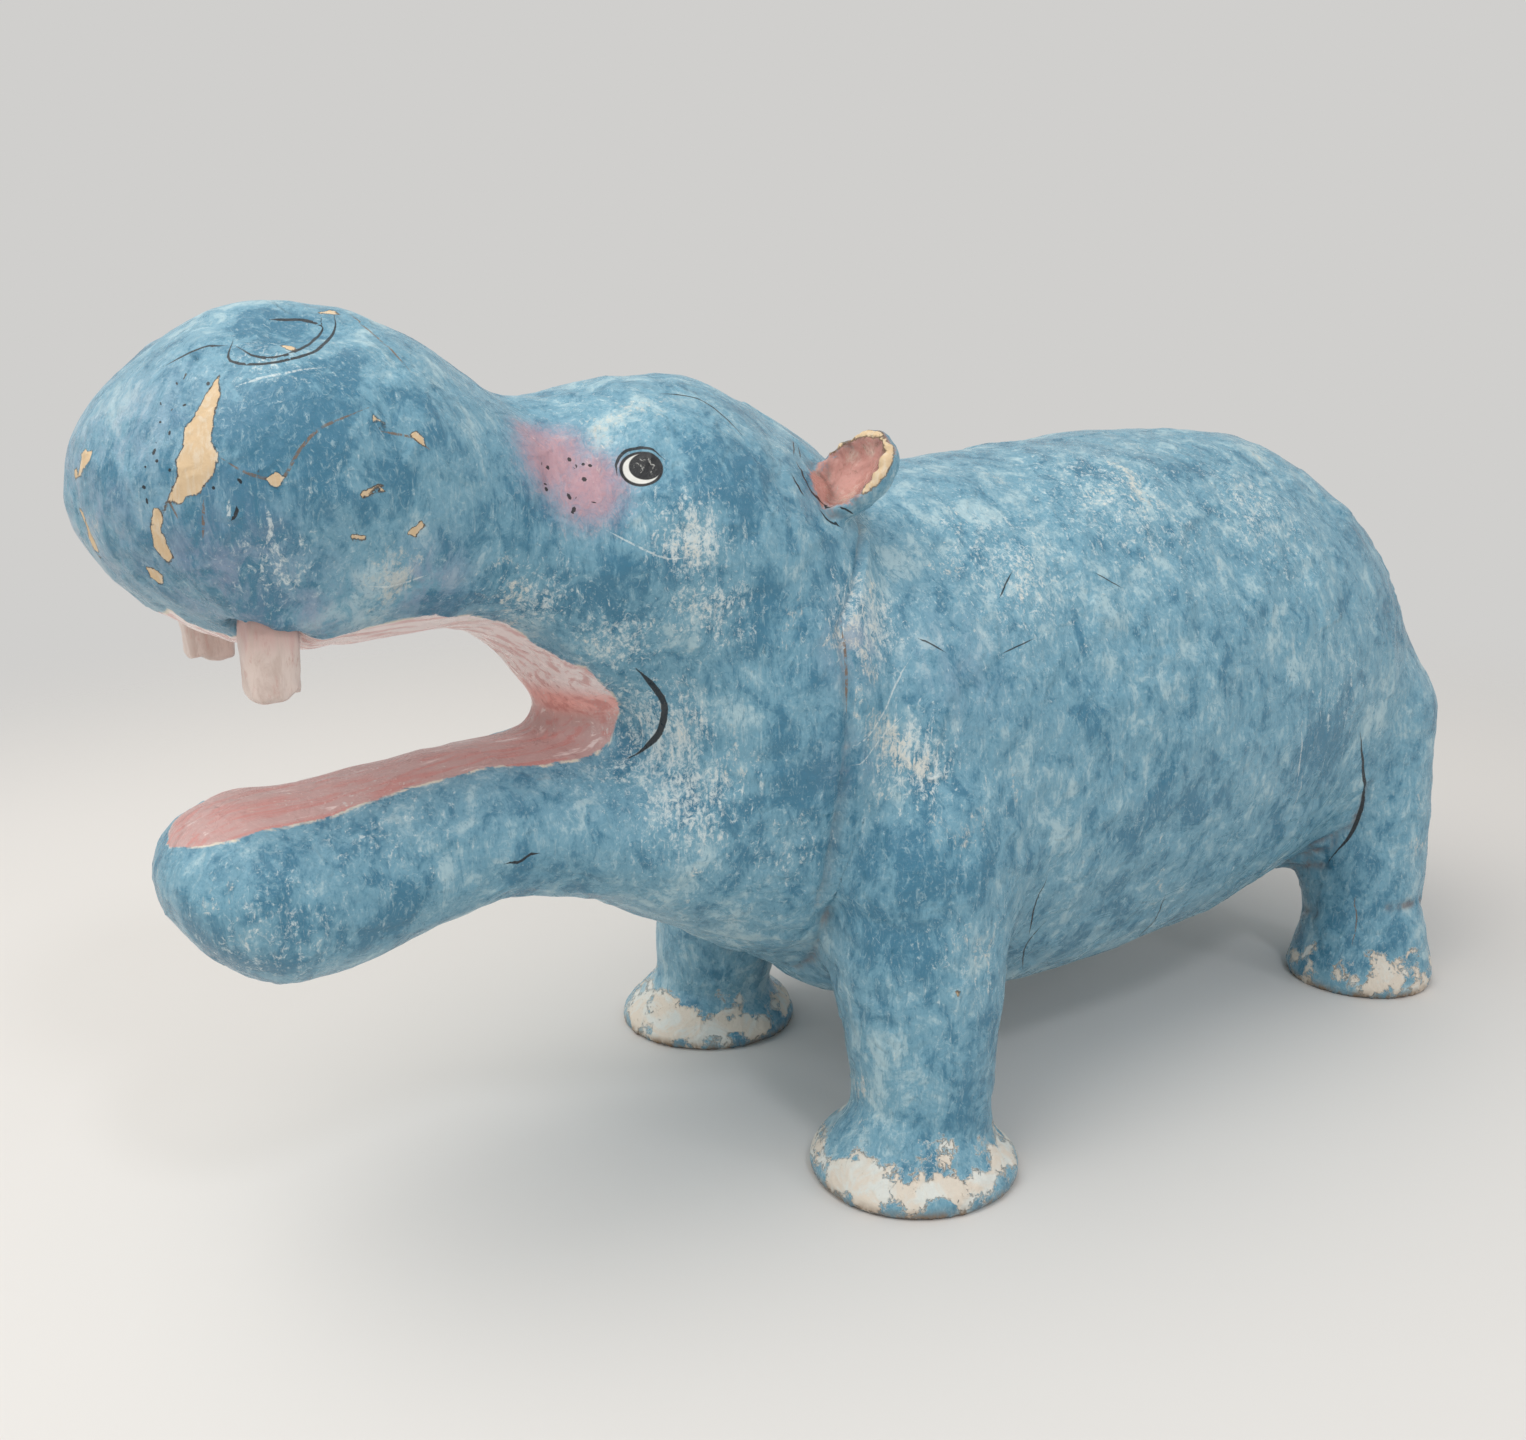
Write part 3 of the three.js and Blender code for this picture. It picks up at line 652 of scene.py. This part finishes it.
# One feature of each noise is as wide as the millimetres given; its scale is per metre.
grain = {}
for name, coords, size, detail, roughness, distortion, offset in (
    ("blotch", place, 34, 4, 0.6, 0.5, 1),
    ("patch", place, 15, 4, 0.65, 0.8, 2),
    ("dab", upright, 7, 8, 0.74, 0.6, 3),
    ("scrub", leaning, 1.9, 6, 0.78, 1.4, 9),
    ("fibre", streaked, 2.0, 4, 0.7, 0.3, 4),
    ("hairline", streaked, 0.9, 3, 0.6, 0.2, 5),
    ("speck", place, 2.6, 5, 0.75, 1.2, 6),
    ("tear", place, 3.4, 6, 0.8, 0.6, 7),
    ("pleat_shading", lengthwise, 3.5, 4, 0.6, 0.4, 8),
):
    moved = node(tree, "ShaderNodeVectorMath", {0: coords, 1: (offset, offset, offset)}).outputs[0]
    grain[name] = node(tree, "ShaderNodeTexNoise", {
        "Vector": moved, "Scale": 1000 / size, "Detail": detail, "Roughness": roughness,
        "Distortion": distortion}).outputs["Fac"]
area = {
    name: node(tree, "ShaderNodeAttribute", attribute_name=name).outputs["Fac"]
    for name in ("mouth", "palate", "fold", "dark", "lavender", "scuff", "blush",
                 "ear_hollow", "ear_rim", "chip", "bare", "sole")
}


def blend(tree, made, recipe):
    """Works a paint's recipe through. Each row names what it makes, the way, and what goes in:
    something made before, a number, or (what, low, high, top) for a soft rise from 0 to top."""
    for name, way, *given in recipe:
        feeds = []
        for part in given:
            if isinstance(part, tuple):
                part = node(tree, "ShaderNodeMapRange", {
                    "Value": made[part[0]], "From Min": part[1], "From Max": part[2],
                    "To Min": 0, "To Max": part[3] if len(part) > 3 else 1,
                }, interpolation_type="SMOOTHSTEP").outputs[0]
            feeds.append(made[part] if isinstance(part, str) else part)
        if way == "COAT":
            feeds = {6: feeds[0], 0: feeds[1], 7: feeds[2]}
            made[name] = node(tree, "ShaderNodeMix", feeds, data_type="RGBA").outputs[2]
        else:
            feeds = dict(enumerate(feeds))
            made[name] = node(tree, "ShaderNodeMath", feeds, operation=way).outputs[0]


wrinkle = node(tree, "ShaderNodeTexNoise", {
    "Vector": place, "Scale": 1000 / 9, "Detail": 6, "Roughness": 0.55, "Distortion": 1.2,
}, noise_type="RIDGED_MULTIFRACTAL").outputs["Fac"]
eye_place = node(tree, "ShaderNodeAttribute", attribute_name="eye").outputs["Vector"]
pupil_place = node(tree, "ShaderNodeMapping", {
    "Vector": eye_place, "Location": (-0.2, -0.14, 0)}).outputs[0]
line = node(tree, "ShaderNodeSeparateXYZ", {
    0: node(tree, "ShaderNodeAttribute", attribute_name="line").outputs["Vector"]})
made = {**PAINT, **grain, **area, "wrinkle": wrinkle}
for name, from_middle in (("eye_reach", eye_place), ("pupil_reach", pupil_place)):
    made[name] = node(tree, "ShaderNodeVectorMath", {0: from_middle}, operation="LENGTH").outputs["Value"]
for name, axis in (("line_run", "X"), ("line_across", "Y"), ("line_kind", "Z")):
    made[name] = line.outputs[axis]
recipe = [
    # Three blues, dabbed wet over each other, with lavender on the snout and the blush.
    ("tone", "MULTIPLY", "patch", 0.58),
    ("tone", "MULTIPLY_ADD", "blotch", 0.42, "tone"),
    ("tone", "MULTIPLY_ADD", "dark", -0.17, "tone"),
    ("tone", "SUBTRACT", "tone", 0.375),
    ("tone", "MULTIPLY_ADD", "dab", 0.75, "tone"),
    ("colour", "COAT", "DEEP", ("tone", 0.33, 0.5), "MID"),
    ("colour", "COAT", "colour", ("tone", 0.5, 0.66), "PALE"),
    ("colour", "COAT", "colour", ("scrub", 0.52, 0.66, 0.5), "PALE"),
    ("colour", "COAT", "colour", ("scrub", 0.46, 0.34, 0.5), "DEEP"),
    ("colour", "COAT", "colour", ("fibre", 0.56, 0.72, 0.5), "PALE"),
    ("colour", "COAT", "colour", ("hairline", 0.57, 0.68, 0.4), "DEEP"),
    ("dabbed", "MULTIPLY", "lavender", ("dab", 0.38, 0.62, 0.75)),
    ("colour", "COAT", "colour", "dabbed", "LAVENDER"),
    ("colour", "COAT", "colour", ("blush", 0.1, 0.8, 0.5), "LAVENDER"),
    ("blushed", "MULTIPLY", "scrub", 1.4),
    ("blushed", "ADD", "blush", "blushed"),
    ("colour", "COAT", "colour", ("blushed", 0.9, 1.75, 0.8), "BLUSH"),
    # The pink of the mouth and the ears, with a worn cream edge. In the mouth, light and shade are painted:
    # paler up on the palate, darker on the floor, and lengthwise pleats as pale and dark bands.
    ("inside", "SUBTRACT", "mouth", 1.5),
    ("inside", "MULTIPLY_ADD", "tear", 3.0, "inside"),
    # Painted light and shade: the pink turns paler up towards the palate and stays darker on the floor of
    # the jaw.
    ("pink", "COAT", "MOUTH", ("palate", 0.0, 0.45), "FLESH"),
    ("pink", "COAT", "pink", ("palate", 0.5, 1.0), "PALATE"),
    # Painted shade and highlight: the lengthwise pleats as darker and paler bands.
    ("pink", "COAT", "pink", ("pleat_shading", 0.46, 0.62, 0.55), "MOUTH_DEEP"),
    ("pink", "COAT", "pink", ("pleat_shading", 0.4, 0.3, 0.6), "PALATE"),
    ("edge_worn", "MULTIPLY", ("inside", -0.9, -0.1), ("patch", 0.45, 0.58)),
    ("colour", "COAT", "colour", "edge_worn", "CREAM"),
    ("colour", "COAT", "colour", ("inside", 0.0, 0.6), "pink"),
    ("hollow", "ADD", "ear_hollow", "tear"),
    ("ear_tone", "COAT", "EAR", ("dab", 0.48, 0.68, 0.6), "CREAM"),
    ("ear_tone", "COAT", "ear_tone", ("scrub", 0.56, 0.66, 0.6), "EDGE"),
    ("colour", "COAT", "colour", ("hollow", 0.72, 0.5), "ear_tone"),
    # Fibres scrubbed pale, and two marks of painted light: white glints painted along the wrinkles where the
    # paint is scuffed, and painted shade darkening the folds.
    ("worn", "MULTIPLY", "fibre", 0.3),
    ("worn", "MULTIPLY_ADD", "speck", 0.3, "worn"),
    ("worn", "MULTIPLY_ADD", "scrub", 0.4, "worn"),
    ("worn", "MULTIPLY_ADD", "scuff", 0.165, "worn"),
    ("colour", "COAT", "colour", ("worn", 0.58, 0.69, 0.75), "WORN"),
    ("worn_through", "ADD", "worn", "blotch"),
    ("colour", "COAT", "colour", ("worn_through", 1.18, 1.3, 0.5), "CREAM"),
    # Painted highlight: thin white glints along the ridges of the wrinkles, only in the scuffed places.
    ("wrinkle_glint", "MULTIPLY", ("wrinkle", 0.58, 0.88), ("scuff", 0.15, 0.7)),
    ("wrinkle_glint", "MULTIPLY", "wrinkle_glint", ("dab", 0.4, 0.55)),
    ("colour", "COAT", "colour", "wrinkle_glint", "WORN"),
    # Painted shade: the folds and the step behind the head are darkened, more where the dabs fall.
    ("fold_shaded", "MULTIPLY", "fold", ("dab", 0.3, 0.7)),
    ("colour", "COAT", "colour", "fold_shaded", "GRIME"),
    # Eyes: a black rim, a white crescent low in front, and a black pupil with a dull painted highlight.
    ("colour", "COAT", "colour", ("eye_reach", 1.04, 0.98), "BLACK"),
    ("colour", "COAT", "colour", ("eye_reach", 0.88, 0.82), "WHITE"),
    ("pupil", "MULTIPLY", ("eye_reach", 0.92, 0.88), ("pupil_reach", 0.8, 0.74)),
    ("colour", "COAT", "colour", "pupil", "BLACK"),
    # Painted highlight: a dull white shine on the pupil.
    ("glint", "MULTIPLY", ("pupil_reach", 0.6, 0.4), ("speck", 0.55, 0.62)),
    ("glint", "MULTIPLY", "glint", 0.75),
    ("colour", "COAT", "colour", "glint", "WHITE"),
    # Every line thins out at both ends, and the brush left it a little uneven.
    ("thickness", "MULTIPLY", ("line_run", -0.02, 0.22), ("line_run", 1.02, 0.7)),
    ("thickness", "MULTIPLY_ADD", "thickness", 0.85, 0.15),
    ("thickness", "SUBTRACT", "thickness", 0.35),
    ("thickness", "MULTIPLY_ADD", "speck", 0.7, "thickness"),
    ("across", "ABSOLUTE", "line_across"),
    ("across", "SUBTRACT", "across", "thickness"),
    ("drawn", "MULTIPLY", ("line_run", -0.03, 0.0), ("line_run", 1.03, 1.0)),
    ("drawn", "MULTIPLY", "drawn", ("across", 0.15, -0.15)),
]
# Brush strokes and hairs are black, cracks brown and scratches pale; the last two are broken.
for kind, sheet, strength, broken in (
    (BRUSH, "BLACK", 0.95, 1.0), (HAIR, "BLACK", 0.9, 1.0),
    (CRACK, "EDGE", 0.85, ("scrub", 0.4, 0.52)), (SCRATCH, "WORN", 0.6, ("scrub", 0.4, 0.52)),
):
    recipe += [
        ("stroke", "COMPARE", "line_kind", kind, 0.4),
        ("stroke", "MULTIPLY", "stroke", broken),
        ("stroke", "MULTIPLY", "drawn", "stroke"),
        ("stroke", "MULTIPLY", "stroke", strength),
        ("colour", "COAT", "colour", "stroke", sheet),
    ]
recipe += [
    # Flakes down to the paper, with a dark lifted edge, and the bare rim of the ears.
    ("torn", "SUBTRACT", "chip", 1.5),
    ("torn", "MULTIPLY_ADD", "tear", 2.8, "torn"),
    ("paper", "COAT", "PAPER", ("fibre", 0.45, 0.65, 0.5), "CREAM"),
    ("dark_edge", "MULTIPLY", ("torn", 0.4, 0.15), ("dab", 0.4, 0.55, 0.8)),
    ("colour", "COAT", "colour", "dark_edge", "EDGE"),
    ("colour", "COAT", "colour", ("torn", 0.1, -0.1), "paper"),
    ("torn_rim", "MULTIPLY_ADD", "tear", 3.0, "ear_rim"),
    ("colour", "COAT", "colour", ("torn_rim", 4.6, 4.3, 0.7), "EDGE"),
    ("colour", "COAT", "colour", ("torn_rim", 4.3, 3.9), "paper"),
    # The feet are bare down to the undercoat, with dirt along the edge of each sole.
    ("lost", "SUBTRACT", "bare", 1.02),
    ("lost", "MULTIPLY_ADD", "tear", 1.7, "lost"),
    ("plaster", "COAT", "UNDERCOAT", ("patch", 0.42, 0.6, 0.7), "WORN"),
    ("plaster", "COAT", "plaster", ("scrub", 0.6, 0.72, 0.6), "DIRT"),
    ("colour", "COAT", "colour", ("lost", -0.1, -0.05, 0.6), "WORN"),
    ("dark_edge", "MULTIPLY", ("lost", -0.04, 0.0), ("dab", 0.4, 0.55, 0.8)),
    ("colour", "COAT", "colour", "dark_edge", "EDGE"),
    ("colour", "COAT", "colour", ("lost", 0.01, 0.05), "plaster"),
    ("dirty", "MULTIPLY", "sole", ("dab", 0.35, 0.6)),
    ("colour", "COAT", "colour", "dirty", "DIRT"),
    # Varnish: smooth where it pooled, dull where it wore off, none on bare paper.
    ("unglazed", "MAXIMUM", ("torn", 0.3, 0.0), ("lost", 0.0, 0.04)),
    ("unglazed", "MAXIMUM", "unglazed", ("torn_rim", 4.3, 3.9)),
    ("gloss", "MULTIPLY_ADD", ("worn", 0.55, 0.7), 0.15, "pooled"),
    ("gloss", "MULTIPLY_ADD", "unglazed", 0.5, "gloss"),
    ("fine", "ADD", "scrub", "speck"),
    ("sunk", "MULTIPLY", "unglazed", -1.0),
]
made["pooled"] = node(tree, "ShaderNodeMapRange", {
    "Value": grain["patch"], "From Min": 0.35, "From Max": 0.65, "To Min": 0.17, "To Max": 0.36,
}).outputs[0]
blend(tree, made, recipe)
tree.links.new(made["colour"], shader.inputs["Base Color"])
tree.links.new(made["gloss"], shader.inputs["Roughness"])
# Three reliefs too fine for the mesh, one on the other: fibres, wrinkles and flaked edges.
relief = {}
for name, strength, deep in (("fine", 0.8, 0.35), ("wrinkle", 1.0, 0.8), ("sunk", 1.0, 0.4)):
    relief = {"Normal": node(tree, "ShaderNodeBump", {
        "Height": made[name], "Strength": strength, "Distance": deep * MM, **relief}).outputs[0]}
tree.links.new(relief["Normal"], shader.inputs["Normal"])
skin.data.materials.append(paint)
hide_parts("body")
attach(skin, "root")


# ---------- Teeth ----------
# Two blunt plugs of rolled paper pushed into the upper gum, square with soft corners and a
# worn, notched end. They were painted off-white and have yellowed and stained at the root.
tooth_paint, tree, shader = finish_material("yellowed_paint_on_paper")
place = node(tree, "ShaderNodeTexCoord").outputs["Object"]
lengths = node(tree, "ShaderNodeMapping", {"Vector": place, "Scale": (1, 1, 0.3)}).outputs[0]
stain = node(tree, "ShaderNodeTexNoise", {
    "Vector": lengths, "Scale": 1000 / 7, "Detail": 6, "Roughness": 0.7, "Distortion": 0.5}).outputs["Fac"]
streak = node(tree, "ShaderNodeTexNoise", {
    "Vector": lengths, "Scale": 1000 / 2, "Detail": 5, "Roughness": 0.7}).outputs["Fac"]
tooth_height = node(tree, "ShaderNodeSeparateXYZ", {0: place}).outputs["Z"]
tooth_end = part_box("tooth_left")[0].z
ROOT_STAIN = 30 * MM
root = node(tree, "ShaderNodeMapRange", {
    "Value": tooth_height, "From Min": tooth_end, "From Max": tooth_end + ROOT_STAIN,
}).outputs[0]
TOOTH = {
    "YELLOWED": "#cbb6ac", "PALE": "#dfcdc4", "STREAK": "#c39a90", "ROOT": "#c79a94",
    "BROWN": "#8d6a4c",
}
made = {name: linear(sheet) for name, sheet in TOOTH.items()}
made.update(stain=stain, streak=streak, root=root)
blend(tree, made, [
    ("colour", "COAT", "YELLOWED", ("stain", 0.42, 0.6), "PALE"),
    ("colour", "COAT", "colour", ("streak", 0.52, 0.68, 0.6), "STREAK"),
    ("rooted", "ADD", "root", "stain"),
    ("colour", "COAT", "colour", ("rooted", 0.95, 1.3, 0.7), "ROOT"),
    ("browned", "MULTIPLY", "stain", 0.6),
    ("browned", "ADD", "streak", "browned"),
    ("colour", "COAT", "colour", ("browned", 1.0, 1.1, 0.8), "BROWN"),
])
tree.links.new(made["colour"], shader.inputs["Base Color"])
shader.inputs["Roughness"].default_value = 0.36
uneven = node(tree, "ShaderNodeBump", {"Height": streak, "Strength": 0.6, "Distance": 0.3 * MM})
tree.links.new(uneven.outputs[0], shader.inputs["Normal"])
for side, notch in (("tooth_left", 5.0), ("tooth_right", -4.0)):
    low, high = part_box(side)
    tooth = refined(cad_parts[side].data, side + "_plug", 0.7 * MM)
    ends = points_of(tooth.data)
    lean = normals_of(tooth.data)
    ends += lean * (0.45 * MM * smooth_noise(ends, 6 * MM, 2, notch))[:, None]
    worn_end = np.exp(-((ends[:, 0] - (low.x + high.x) / 2 - notch * MM) / (2.2 * MM)) ** 2)
    worn_end = worn_end * step(low.z + 6 * MM - ends[:, 2], 0, 6 * MM)
    ends[:, 2] += 1.8 * MM * worn_end
    tooth.data.vertices.foreach_set("co", ends.astype(np.float32).ravel())
    tooth.data.update()
    tooth.data.polygons.foreach_set("use_smooth", [True] * len(tooth.data.polygons))
    tooth.data.materials.append(tooth_paint)
    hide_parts(side)
    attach(tooth, "root")
